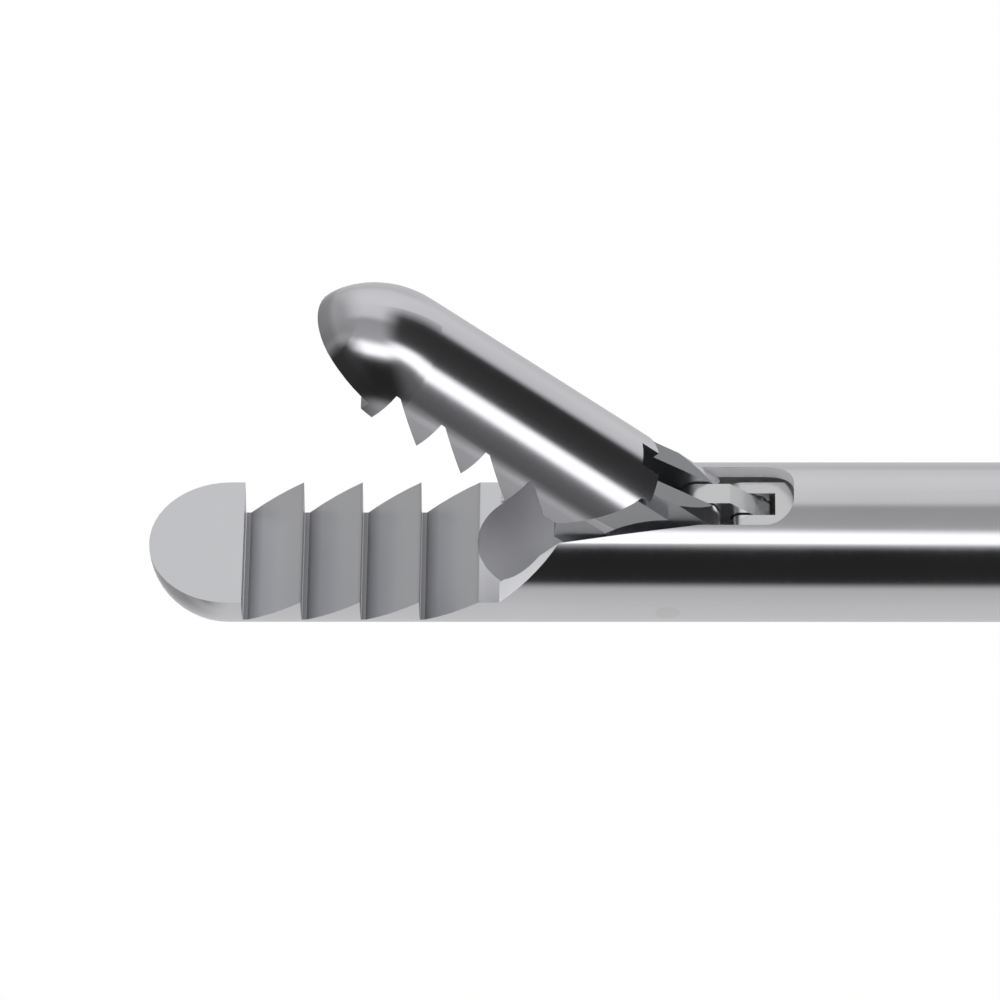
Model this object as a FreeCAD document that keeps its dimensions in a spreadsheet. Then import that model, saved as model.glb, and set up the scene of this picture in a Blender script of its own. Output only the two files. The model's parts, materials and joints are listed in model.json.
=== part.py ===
import FreeCAD, Part

import math
import os
import re

import Sketcher

# Laparoscopic grasper, 5 mm shaft with a ring handle. Millimetres, +Z up.
# The shaft lies along X with its tip at -X. The origin is on the shaft axis at the knob's front face.
# The jaws are built open, as they rest. Squeezing the thumb lever pushes the rod and shuts them.

doc = FreeCAD.newDocument("Grasper")
sheet = doc.addObject("Spreadsheet::Sheet", "Sizes")

SIZES = {
    # Shaft and jaws, places measured back from the jaw pivot
    "working_length": 310,
    "tube_radius": 2.5,
    "tube_wall": 0.4,
    "tip_seam": 12,
    "seam_width": 0.32,
    "seam_depth": 0.12,
    "tube_back": 1,
    "nose_centre": 13.75,
    "first_face": 13.3,
    "tooth_pitch": 1.85,
    "tooth_count": 4,
    "tooth_depth": 1.13,
    "valley_width": 0.16,
    "land_back": 5.25,
    "pocket_centre": 3.85,
    "wall_height": 1.86,
    "slot_half": 1.2,
    "slot_flare": 0.47,
    "flare_back": 1.0,
    "slot_back": 3.93,
    "slot_corner": 0.9,
    "jaw_gap": 0.05,
    "wall_clearance": 0.12,
    "jaw_radius": 2.35,
    "jaw_length": 15.38,
    "brow_radius": 3.6,
    "lip_radius": 1.9,
    "tooth_mesh": 0.3,
    "mesh_clearance": 0.08,
    "jaw_first_face": 12.77,
    "jaw_shoulder": 3.15,
    "tang_half": 1.1,
    "tang_root": 5.0,
    "tang_low": 0.6,
    "tang_top": 1.75,
    "tang_turn": 64,
    "heel_half": 1.45,
    "heel_front": 5.25,
    "heel_toe": 4.3,
    "heel_back": 2.1,
    "heel_floor": 1.2,
    "heel_top": 1.8,
    "heel_sweep": 3.3,
    "link_slot_half": 0.45,
    "link_slot_front": 3.85,
    "link_slot_floor": 0.85,
    # Linkage in the tip
    "pivot_drop": 0.6,
    "pivot_pin_radius": 0.4,
    "knuckle_radius": 1.1,
    "jaw_arm": 2.5,
    "jaw_opening": 43.6,
    "arm_eye_radius": 0.72,
    "link_pin_radius": 0.35,
    "pin_clearance": 0.02,
    "link_length": 1.9,
    "link_slope": 18,
    "link_half": 0.4,
    "link_front_radius": 0.58,
    "link_rear_radius": 0.5,
    "link_crest": 1.02,
    "eye_clearance": 0.035,
    "fork_front": 0.79,
    "fork_half": 0.9,
    "fork_floor": 0.6,
    "fork_top": 1.8,
    "fork_corner": 0.35,
    "fork_gap_depth": 0.62,
    "head_start": 2.6,
    "chamfer": 0.3,
    "head_length": 3.6,
    "head_clearance": 0.05,
    "rod_radius": 1.0,
    "rod_grip": 2.5,
    "guide_count": 2,
    "guide_width": 4,
    # Hub, knob and port
    "knob_length": 24,
    "knob_radius": 12,
    "knob_waist": 9.5,
    "knob_dish": 2.5,
    "knob_rim": 2,
    "knob_bevel": 1.5,
    "knob_fall": 0.6,
    "flute_count": 6,
    "flute_radius": 3.6,
    "flute_centre": 14.0,
    "spigot_front": -9,
    "spigot_back": 14,
    "spigot_bore": 1.5,
    "hub_front": 2.5,
    "hub_radius": 4,
    "collar_radius": 6.5,
    "collar_bevel": 1,
    "collar_step": 0.5,
    "collar_back": 37,
    "screw_radius": 1.5,
    "screw_length": 4.5,
    "knob_screw_inset": 4.5,
    "port_place": 31,
    "port_radius": 2.1,
    "port_bore": 1.2,
    "port_root": 4.6,
    "port_top": 16.5,
    "port_bead": 0.6,
    "port_taper": 0.2,
    "port_lug_radius": 2.9,
    "port_lug_half": 0.9,
    "port_lug_height": 1,
    "port_lug_drop": 0.6,
    "cap_radius": 4.3,
    "cap_floor": 9.0,
    "cap_wall": 1.2,
    "cap_bevel": 0.8,
    "cap_lid": 1.8,
    "cap_seal": 0.8,
    "notch_count": 10,
    "notch_radius": 0.55,
    "notch_proud": 0.25,
    "journal_clearance": 0.03,
    "bush_outer": 5.2,
    "bush_back": 54,
    "bush_flange": 7.0,
    "flange_width": 0.9,
    "thread_front": 54.1,
    "thread_radius": 3.5,
    "hub_back": 58,
    "nut_radius": 4.9,
    "nut_width": 3.2,
    "seal_radius": 3,
    "seal_place": 46,
    "seal_width": 4,
    "seal_lip": 0.03,
    "gland_hole": 1.25,
    "ring_section": 0.8,
    "ring_front": 39.5,
    "ring_back": 51,
    "ring_width": 1.2,
    "ring_play": 0.1,
    # Handle
    "handle_front": 38,
    "housing_half": 7.5,
    "housing_floor": 10,
    "housing_bevel": 1.3,
    "housing_corner": 3,
    "housing_chin": 2,
    "cheek_radius": 8.5,
    "cheek_gap": 3.5,
    "slot_front": 60,
    "lever_pivot_x": 74,
    "lever_arm": 5.5,
    "lever_half": 3,
    "lever_screw_radius": 1.5,
    "screw_head_radius": 3.2,
    "screw_head_height": 1.7,
    "washer_thickness": 0.45,
    "washer_radius": 4.2,
    "washer_play": 0.02,
    "screw_recess": 0.1,
    "screw_slit_half": 0.4,
    "screw_slit_depth": 0.8,
    "ball_radius": 2.2,
    "ball_neck": 0.8,
    "ball_neck_length": 6.4,
    "sleeve_length": 4.0,
    "sleeve_radius": 1.9,
    "lock_nut_reach": 2.3,
    "lock_nut_width": 1.6,
    "socket_clearance": 0.05,
    "socket_play": 0.1,
    "neck_play": 1.75,
    "grip_half": 3.5,
    "grip_bevel": 1.6,
    "finger_x": 46,
    "finger_drop": 66,
    "finger_inner": 11,
    "finger_reach": 13,
    "ring_wall": 6,
    "stem_half": 4.5,
    "stem_offset": 2,
    "stem_blend": 9,
    "thumb_turn": 20.2,
    "thumb_drop": 72.4,
    "thumb_inner": 11,
    "thumb_reach": 4,
    "lever_stem_half": 4.6,
    "lever_shoulder": 10,
    "shoulder_blend": 5,
}

for row, (name, number) in enumerate(SIZES.items(), start=1):
    sheet.set(f"A{row}", name)
    sheet.set(f"B{row}", str(number))
    sheet.setAlias(f"B{row}", name)
doc.recompute()

FUNCTIONS = {"sin", "cos", "tan", "asin", "atan", "sqrt"}
BIG = "40"


def bound(text):
    """The expression with each size's name pointed at the sheet."""
    def point(match):
        word = match.group()
        return word if word in FUNCTIONS else "Sizes." + word
    return re.sub(r"[a-z][a-z_]+", point, str(text))


def value(text):
    """The expression worked out from the sheet."""
    result = sheet.evalExpression(bound(text))
    return float(getattr(result, "Value", result))


def new_body(label):
    body = doc.addObject("PartDesign::Body", label)
    body.Label = label
    return body


def new_sketch(body, plane="XZ_Plane"):
    sketch = body.newObject("Sketcher::SketchObject", body.Name + "_sketch")
    base = [f for f in body.Origin.OriginFeatures if f.Role == plane][0]
    sketch.AttachmentSupport = [(base, "")]
    sketch.MapMode = "FlatFace"
    return sketch


def pin_down(sketch, kind, first, second, text):
    """One dimension of the sketch, bound to the sheet."""
    index = sketch.addConstraint(Sketcher.Constraint(kind, -1, 1, first, second, value(text)))
    sketch.setExpression(f"Constraints[{index}]", bound(text))


def outline(sketch, points):
    """A closed outline. A point is (x, y) or (x, y, radius) where the edge that leaves it is an arc,
    with the radius positive when the centre is to the left of the way round."""
    first = sketch.GeometryCount
    places = [FreeCAD.Vector(value(p[0]), value(p[1]), 0) for p in points]
    count = len(points)
    for index, point in enumerate(points):
        start, end = places[index], places[(index + 1) % count]
        if len(point) == 2:
            sketch.addGeometry(Part.LineSegment(start, end))
            continue
        radius = value(point[2].lstrip("-"))
        side = -1 if point[2].startswith("-") else 1
        chord = end - start
        half = chord.Length / 2
        left = FreeCAD.Vector(-chord.y, chord.x, 0).normalize()
        rise = radius - math.sqrt(max(radius ** 2 - half ** 2, 0))
        middle = (start + end) / 2 - left * (side * rise)
        sketch.addGeometry(Part.Arc(start, middle, end))
    for index, point in enumerate(points):
        here, after = first + index, first + (index + 1) % count
        ends = _ends(sketch, here, places[index])
        next_ends = _ends(sketch, after, places[(index + 1) % count])
        sketch.addConstraint(Sketcher.Constraint("Coincident", here, ends[1], after, next_ends[0]))
        pin_down(sketch, "DistanceX", here, ends[0], point[0])
        pin_down(sketch, "DistanceY", here, ends[0], point[1])
        if len(point) == 3:
            radius = point[2].lstrip("-")
            mark = sketch.addConstraint(Sketcher.Constraint("Radius", here, value(radius)))
            sketch.setExpression(f"Constraints[{mark}]", bound(radius))


def _ends(sketch, index, place):
    """The point numbers of an edge's start and end, as an arc may be stored the other way round."""
    near = sketch.getPoint(index, 1)
    far = sketch.getPoint(index, 2)
    if (near - place).Length <= (far - place).Length:
        return 1, 2
    return 2, 1


def disc(sketch, x, y, radius):
    """A full circle in the sketch."""
    centre = FreeCAD.Vector(value(x), value(y), 0)
    index = sketch.addGeometry(Part.Circle(centre, FreeCAD.Vector(0, 0, 1), value(radius)))
    pin_down(sketch, "DistanceX", index, 3, x)
    pin_down(sketch, "DistanceY", index, 3, y)
    mark = sketch.addConstraint(Sketcher.Constraint("Radius", index, value(radius)))
    sketch.setExpression(f"Constraints[{mark}]", bound(radius))


def racetrack(sketch, x, y, reach, radius):
    """An upright slot: two half circles, each `reach` from the middle, joined by straight sides."""
    outline(sketch, [
        (f"{x} + {radius}", f"{y} - {reach}"),
        (f"{x} + {radius}", f"{y} + {reach}", radius),
        (f"{x}", f"{y} + {reach} + {radius}", radius),
        (f"{x} - {radius}", f"{y} + {reach}"),
        (f"{x} - {radius}", f"{y} - {reach}", radius),
        (f"{x}", f"{y} - {reach} - {radius}", radius),
    ])


def feature(body, kind, sketch, **settings):
    """A feature on a sketch; text settings are bound to the sheet, others are set as they are."""
    made = body.newObject("PartDesign::" + kind, body.Name + "_" + kind.lower())
    made.Profile = sketch
    for name, setting in settings.items():
        if isinstance(setting, str):
            setattr(made, name, value(setting))
            made.setExpression(name, bound(setting))
        else:
            setattr(made, name, setting)
    sketch.Visibility = False
    return made


def pad(body, sketch, width):
    return feature(body, "Pad", sketch, Midplane=True, Length=width)


def cut(body, sketch, width=BIG):
    return feature(body, "Pocket", sketch, Midplane=True, Length=width)


def spin(body, sketch, kind="Revolution"):
    return feature(body, kind, sketch, ReferenceAxis=(sketch, ["H_Axis"]), Angle=360.0)


def turned_body(label, points):
    """A body turned about the shaft axis from half its section."""
    body = new_body(label)
    sketch = new_sketch(body)
    outline(sketch, points)
    spin(body, sketch)
    return body


def moved(body, x="0", y="0", z="0", about=None, turn="0"):
    """Puts a finished piece in its place: turned about a point of its own, then shifted."""
    rotation = FreeCAD.Rotation(FreeCAD.Vector(0, 1, 0), value(turn))
    centre = FreeCAD.Vector(0, 0, 0) if about is None else FreeCAD.Vector(value(about[0]), 0, value(about[1]))
    shift = FreeCAD.Vector(value(x), value(y), value(z))
    body.Placement = FreeCAD.Placement(centre - rotation.multVec(centre) + shift, rotation)
    return body


def cylinder(name, radius, length, x="0", y="0", z="0", along="x"):
    """A round bar from the given place along x, y or z."""
    bar = doc.addObject("Part::Cylinder", name)
    bar.setExpression("Radius", bound(radius))
    bar.setExpression("Height", bound(length))
    axis = {"x": FreeCAD.Vector(1, 0, 0), "y": FreeCAD.Vector(0, 1, 0), "z": FreeCAD.Vector(0, 0, 1)}[along]
    bar.Placement = FreeCAD.Placement(FreeCAD.Vector(0, 0, 0), FreeCAD.Rotation(FreeCAD.Vector(0, 0, 1), axis))
    for side, text in (("x", x), ("y", y), ("z", z)):
        bar.setExpression("Placement.Base." + side, bound(text))
    return bar


def block(name, low, high):
    """A box from its low corner to its high corner."""
    box = doc.addObject("Part::Box", name)
    for side, size, start, end in zip("xyz", ("Length", "Width", "Height"), low, high):
        box.setExpression(size, bound(f"({end}) - ({start})"))
        box.setExpression("Placement.Base." + side, bound(start))
    return box


def less(label, base, *tools):
    """The base with the tools taken out of it."""
    tool = tools[0] if len(tools) == 1 else joined(label + "_tools", *tools)
    result = doc.addObject("Part::Cut", label)
    result.Base = base
    result.Tool = tool
    return result


def joined(label, *shapes):
    result = doc.addObject("Part::MultiFuse", label)
    result.Shapes = list(shapes)
    return result


PARTS = []


def keep(piece, label):
    piece.Label = label
    PARTS.append(piece)
    return piece


# Places in the tip, measured from the jaw pivot's place on the shaft axis.
TIP = "-(working_length - nose_centre - tube_radius)"
BORE = "(tube_radius - tube_wall)"
HEAD = f"({BORE} - head_clearance)"
PIN_X = "(jaw_arm * sin(jaw_opening / 2))"
PIN_Z = "(jaw_arm * cos(jaw_opening / 2) - pivot_drop)"
REAR_X = f"({PIN_X} + link_length * cos(link_slope))"
REAR_Z = f"({PIN_Z} - link_length * sin(link_slope))"
PIN_LIFT = "(jaw_arm * (1 - cos(jaw_opening / 2)))"
TRAVEL = f"(2 * {PIN_X})"
LEVER_HALF = f"(atan({PIN_X} / lever_arm))"
LEVER_SWING = f"(2 * {LEVER_HALF})"


def teeth(face, height, depth):
    """Saw teeth whose upright faces look back: one face, one narrow valley and one ramp each."""
    points = []
    for number in range(int(value("tooth_count"))):
        place = f"{face} + {number} * tooth_pitch"
        points.append((place, height))
        points.append((place, f"{height} + {depth}"))
        points.append((f"{place} + valley_width", f"{height} + {depth}"))
    points.append((f"{face} + tooth_count * tooth_pitch", height))
    return points


def fixed_jaw():
    """The tube's end, turned with a half-ball nose, then cut away to a toothed half and a top slot."""
    body = turned_body("fixed_jaw", [
        ("-nose_centre - tube_radius", "0", "-tube_radius"),
        ("-nose_centre", "tube_radius"),
        ("tip_seam - seam_width", "tube_radius"),
        ("tip_seam", "tube_radius - seam_depth"),
        ("tip_seam", "0"),
    ])
    bore = new_sketch(body)
    outline(bore, [
        (f"-pocket_centre - {BORE}", "0", f"-{BORE}"),
        ("-pocket_centre", BORE),
        ("tip_seam + 1", BORE),
        ("tip_seam + 1", "0"),
    ])
    spin(body, bore, "Groove")
    bite = new_sketch(body)
    outline(bite, [
        ("-nose_centre - tube_radius - 1", "0"),
        *teeth("-first_face", "0", "(-tooth_depth)"),
        ("-land_back", "0"),
        ("-land_back + wall_height", "wall_height"),
        ("-land_back + wall_height", "tube_radius + 1"),
        ("-nose_centre - tube_radius - 1", "tube_radius + 1"),
    ])
    cut(body, bite)
    slot = new_sketch(body, "XY_Plane")
    outline(slot, [
        ("-land_back", "-slot_half - slot_flare"),
        ("-land_back + wall_height", "-slot_half - slot_flare"),
        ("flare_back", "-slot_half"),
        ("slot_back - slot_corner", "-slot_half", "slot_corner"),
        ("slot_back", "-slot_half + slot_corner"),
        ("slot_back", "slot_half - slot_corner", "slot_corner"),
        ("slot_back - slot_corner", "slot_half"),
        ("flare_back", "slot_half"),
        ("-land_back + wall_height", "slot_half + slot_flare"),
        ("-land_back", "slot_half + slot_flare"),
    ])
    feature(body, "Pocket", slot, Reversed=True, Length="tube_radius + 1")
    pivot = new_sketch(body)
    disc(pivot, "0", "-pivot_drop", "pivot_pin_radius")
    cut(body, pivot)
    return keep(moved(body, x=TIP), "fixed_jaw")


def moving_jaw():
    """Drawn shut, with its teeth in the fixed ones, then swung open. A flat tang carries its arm into the slot,
    a wider heel fills the pocket before it, and both are trimmed to the tube's round."""
    rise = "(brow_radius - jaw_radius)"
    span = "(brow_radius - lip_radius)"
    reach = f"sqrt({span} ^ 2 - {rise} ^ 2)"
    body = turned_body("moving_jaw", [
        ("-jaw_length", "0", "-lip_radius"),
        (f"-jaw_length + lip_radius * (1 - {reach} / {span})", f"lip_radius * {rise} / {span}", "-brow_radius"),
        (f"-jaw_length + lip_radius + {reach}", "jaw_radius"),
        ("-jaw_shoulder", "jaw_radius"),
        ("-jaw_shoulder", "0"),
    ])
    ramp = "((tooth_depth - tooth_mesh - jaw_gap) / tooth_depth * (tooth_pitch - valley_width))"
    bite = new_sketch(body)
    outline(bite, [
        ("-jaw_length - 1", "jaw_gap"),
        ("-first_face + mesh_clearance", "jaw_gap"),
        ("-first_face + mesh_clearance", "-tooth_mesh"),
        *teeth("-jaw_first_face", "(-tooth_mesh)", "tooth_depth")[:-1],
        (f"-jaw_first_face + (tooth_count - 1) * tooth_pitch + valley_width + {ramp}", "jaw_gap"),
        ("-land_back - wall_clearance", "jaw_gap"),
        ("-land_back - wall_clearance + wall_height", "jaw_gap + wall_height"),
        ("0", "jaw_gap + wall_height"),
        ("0", "-tube_radius - 1"),
        ("-jaw_length - 1", "-tube_radius - 1"),
    ])
    cut(body, bite)
    tang = new_sketch(body)
    outline(tang, [
        ("-tang_root", "tang_low"),
        ("-tang_root", "tang_top"),
        (f"-{PIN_X}", f"{PIN_Z} + arm_eye_radius", "-arm_eye_radius"),
        (f"-{PIN_X} + arm_eye_radius", PIN_Z),
        (f"-{PIN_X} + arm_eye_radius",
         f"-pivot_drop + sqrt(knuckle_radius ^ 2 - (arm_eye_radius - {PIN_X}) ^ 2)", "-knuckle_radius"),
        ("knuckle_radius", "-pivot_drop", "-knuckle_radius"),
        ("0", "-pivot_drop - knuckle_radius", "-knuckle_radius"),
        ("-knuckle_radius * cos(tang_turn)", "-pivot_drop - knuckle_radius * sin(tang_turn)"),
    ])
    pad(body, tang, "2 * tang_half")
    heel = new_sketch(body)
    outline(heel, [
        ("-heel_front", "heel_top"),
        ("-heel_front", "0"),
        ("-heel_toe", "-heel_floor"),
        ("-heel_back", "-heel_floor"),
        ("-sqrt(heel_sweep ^ 2 - pivot_drop ^ 2)", "0", "-heel_sweep"),
        ("-sqrt(heel_sweep ^ 2 - (heel_top + pivot_drop) ^ 2)", "heel_top"),
    ])
    pad(body, heel, "2 * heel_half")
    trim = new_sketch(body)
    outline(trim, [
        ("-jaw_shoulder", "tube_radius - pin_clearance"),
        ("tube_radius", "tube_radius - pin_clearance"),
        ("tube_radius", "2 * tube_radius"),
        ("-jaw_shoulder", "2 * tube_radius"),
    ])
    spin(body, trim, "Groove")
    slot = new_sketch(body)
    outline(slot, [
        ("-link_slot_front", "link_slot_floor"),
        ("tube_radius", "link_slot_floor"),
        ("tube_radius", "tube_radius + 1"),
        ("-link_slot_front", "tube_radius + 1"),
    ])
    cut(body, slot, "2 * link_slot_half")
    holes = new_sketch(body)
    disc(holes, "0", "-pivot_drop", "pivot_pin_radius + pin_clearance")
    disc(holes, f"-{PIN_X}", PIN_Z, "link_pin_radius")
    cut(body, holes)
    return keep(moved(body, x=TIP, about=("0", "-pivot_drop"), turn="jaw_opening"), "moving_jaw")


def link():
    """A short strap between two pins, with a flat crest that lies level with the slot's edge."""
    body = new_body("link")
    strap = new_sketch(body)
    outline(strap, [
        ("-link_front_radius * sin(link_slope)", "link_front_radius * cos(link_slope)"),
        ("link_crest * cos(link_slope) - link_front_radius * sin(link_slope)",
         "link_crest * sin(link_slope) + link_front_radius * cos(link_slope)"),
        ("link_length + link_rear_radius * cos(45)", "link_rear_radius * sin(45)", "-link_rear_radius"),
        ("link_length + link_rear_radius", "0", "-link_rear_radius"),
        ("link_length", "-link_rear_radius"),
        ("0", "-link_front_radius", "-link_front_radius"),
        ("-link_front_radius", "0", "-link_front_radius"),
    ])
    pad(body, strap, "2 * link_half")
    holes = new_sketch(body)
    disc(holes, "0", "0", "link_pin_radius + pin_clearance")
    disc(holes, "link_length", "0", "link_pin_radius")
    cut(body, holes)
    moved(body, x=f"{TIP} + {PIN_X}", z=PIN_Z, about=("0", "0"), turn="link_slope")
    return keep(body, "link")


def rod_head():
    """The rod's guide in the bore, with a fork above the axis that takes the link."""
    body = turned_body("rod_head", [
        ("head_start", "0"),
        ("head_start", f"{HEAD} - chamfer"),
        ("head_start + chamfer", HEAD),
        ("head_start + head_length - chamfer", HEAD),
        ("head_start + head_length", f"{HEAD} - chamfer"),
        ("head_start + head_length", "0"),
    ])
    fork = new_sketch(body)
    outline(fork, [
        ("-fork_front", "fork_floor"),
        ("-fork_front", "fork_top - fork_corner", "-fork_corner"),
        ("-fork_front + fork_corner", "fork_top"),
        ("head_start + 2 * chamfer", "fork_top"),
        ("head_start + 2 * chamfer", "fork_floor"),
    ])
    pad(body, fork, "2 * fork_half")
    gap = new_sketch(body)
    outline(gap, [
        ("-fork_front - 1", "0"),
        ("fork_gap_depth", "0"),
        ("fork_gap_depth", "tube_radius"),
        ("-fork_front - 1", "tube_radius"),
    ])
    cut(body, gap, "2 * link_slot_half")
    eye = new_sketch(body)
    racetrack(eye, "0", f"({REAR_Z} + {PIN_LIFT} / 2)", f"({PIN_LIFT} / 2 + pin_clearance)",
              "(link_pin_radius + eye_clearance)")
    cut(body, eye)
    socket = new_sketch(body)
    outline(socket, [
        ("head_start + head_length - rod_grip", "0"),
        ("head_start + head_length - rod_grip", "rod_radius"),
        ("head_start + head_length + 1", "rod_radius"),
        ("head_start + head_length + 1", "0"),
    ])
    spin(body, socket, "Groove")
    return keep(moved(body, x=f"{TIP} + {REAR_X}"), "rod_head")


def tip_pins():
    """The jaw pivot is flush with the round tube; the link's two pins are flush with what holds them."""
    bar = cylinder("pivot_bar", "pivot_pin_radius", "2 * tube_radius", x=TIP, y="-tube_radius", z="-pivot_drop",
                   along="y")
    skin = cylinder("pivot_skin", "tube_radius", "4 * tube_radius", x=f"{TIP} - 2 * tube_radius")
    flush = doc.addObject("Part::Common", "jaw_pivot_pin")
    flush.Base = bar
    flush.Tool = skin
    keep(flush, "jaw_pivot_pin")
    keep(cylinder("link_front_pin", "link_pin_radius", "2 * tang_half", x=f"{TIP} + {PIN_X}", y="-tang_half",
                  z=PIN_Z, along="y"), "link_front_pin")
    keep(cylinder("link_rear_pin", "link_pin_radius", "2 * fork_half - 0.1", x=f"{TIP} + {REAR_X}",
                  y="-fork_half + 0.05", z=REAR_Z, along="y"), "link_rear_pin")


def outer_tube():
    """The long thin-walled tube from the jaw end to inside the hub."""
    body = turned_body("outer_tube", [
        (f"{TIP} + tip_seam", BORE),
        (f"{TIP} + tip_seam", "tube_radius - seam_depth"),
        (f"{TIP} + tip_seam + seam_width", "tube_radius"),
        ("tube_back", "tube_radius"),
        ("tube_back", BORE),
    ])
    keep(body, "outer_tube")


KNOB_SCREW = "(knob_length - knob_screw_inset)"
HEAD_BACK = f"({TIP} + {REAR_X} + head_start + head_length)"
BALL_X = f"(lever_pivot_x + {PIN_X})"
SLEEVE_FRONT = f"({BALL_X} - ball_neck_length - sleeve_length)"


def drive_rod():
    rod = cylinder("drive_rod", "rod_radius", f"{BALL_X} - ball_neck_length - 1 - ({HEAD_BACK} - rod_grip)",
                   x=f"{HEAD_BACK} - rod_grip")
    keep(rod, "drive_rod")
    guides = []
    count = int(value("guide_count"))
    for number in range(count):
        place = f"{HEAD_BACK} + ({number} + 0.5) * (-{HEAD_BACK}) / {count}"
        band = cylinder(f"guide_band_{number}", HEAD, "guide_width", x=place)
        hole = cylinder(f"guide_hole_{number}", "rod_radius", "guide_width", x=place)
        guides.append(less(f"guide_{number}", band, hole))
    bands = doc.addObject("Part::Compound", "rod_guides")
    bands.Links = guides
    keep(bands, "rod_guides")


def ball_end():
    """A sleeve on the rod's thread, a neck and the ball that the lever holds."""
    body = turned_body("ball_end", [
        (SLEEVE_FRONT, "rod_radius"),
        (SLEEVE_FRONT, "sleeve_radius"),
        (f"{BALL_X} - ball_neck_length", "sleeve_radius"),
        (f"{BALL_X} - ball_neck_length + sleeve_radius - ball_neck", "ball_neck"),
        (f"{BALL_X} - sqrt(ball_radius ^ 2 - ball_neck ^ 2)", "ball_neck", "-ball_radius"),
        (BALL_X, "ball_radius", "-ball_radius"),
        (f"{BALL_X} + ball_radius", "0"),
        (f"{BALL_X} - ball_neck_length - 1", "0"),
        (f"{BALL_X} - ball_neck_length - 1", "rod_radius"),
    ])
    keep(body, "ball_end")
    keep(hex_nut("ball_lock_nut", "lock_nut_reach", "rod_radius", "lock_nut_width",
                 f"{SLEEVE_FRONT} - lock_nut_width"), "ball_lock_nut")


def hex_nut(name, reach, hole, width, place):
    """A six-sided nut on the shaft axis."""
    prism = doc.addObject("Part::Prism", name + "_blank")
    prism.Polygon = 6
    prism.setExpression("Circumradius", bound(reach))
    prism.setExpression("Height", bound(width))
    prism.Placement = FreeCAD.Placement(FreeCAD.Vector(0, 0, 0), FreeCAD.Rotation(FreeCAD.Vector(0, 1, 0), 90))
    prism.setExpression("Placement.Base.x", bound(place))
    return less(name, prism, cylinder(name + "_hole", hole, width, x=place))


def hub():
    """The hub: a spigot in the tube, a nose, the knob's seat, a collar, a journal and a thread."""
    body = turned_body("hub_blank", [
        ("spigot_front", "spigot_bore"),
        ("spigot_front", BORE),
        ("tube_back", BORE),
        ("tube_back", f"(tube_radius + {BORE}) / 2 - seam_depth"),
        ("hub_front", "hub_radius"),
        ("knob_length + collar_step", "hub_radius"),
        ("knob_length + collar_step", "collar_radius - collar_bevel"),
        ("knob_length + collar_step + collar_bevel", "collar_radius"),
        ("collar_back - collar_bevel", "collar_radius"),
        ("collar_back", "collar_radius - collar_bevel"),
        ("collar_back", "hub_radius"),
        ("thread_front", "hub_radius"),
        ("thread_front", "thread_radius"),
        ("hub_back", "thread_radius"),
        ("hub_back", "seal_radius"),
        ("seal_place", "seal_radius"),
        ("seal_place", BORE),
        ("spigot_back", BORE),
        ("spigot_back", "spigot_bore"),
    ])
    groove = new_sketch(body)
    for place in ("ring_front", "ring_back"):
        outline(groove, [
            (place, "hub_radius - ring_section"),
            (f"{place} + ring_width", "hub_radius - ring_section"),
            (f"{place} + ring_width", "hub_radius + 1"),
            (place, "hub_radius + 1"),
        ])
    spin(body, groove, "Groove")
    boss = cylinder("port_seat", "port_radius", "collar_radius", x="port_place", z="port_root", along="z")
    way = cylinder("port_way", "port_bore", "port_root", x="port_place", z="0", along="z")
    keep(less("shaft_hub_finished", body, boss, way), "shaft_hub")
    rings = []
    for number, place in enumerate(("ring_front", "ring_back")):
        section = turned_body(f"hub_ring_{number}", [
            (f"{place} + ring_play", "hub_radius - ring_section"),
            (f"{place} + ring_play", "hub_radius"),
            (f"{place} + ring_width - ring_play", "hub_radius"),
            (f"{place} + ring_width - ring_play", "hub_radius - ring_section"),
        ])
        rings.append(section)
    pair = doc.addObject("Part::Compound", "hub_o_rings")
    pair.Links = rings
    keep(pair, "hub_o_rings")


def repeated(body, groove, count, name):
    """Repeats a cut round the body's own X axis."""
    doc.recompute()
    ring = body.newObject("PartDesign::PolarPattern", name)
    ring.Originals = [groove]
    ring.Axis = ([f for f in body.Origin.OriginFeatures if f.Role == "X_Axis"][0], [""])
    ring.Angle = 360
    ring.Occurrences = int(value(count))
    ring.setExpression("Occurrences", bound(count))
    body.Tip = ring


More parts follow.
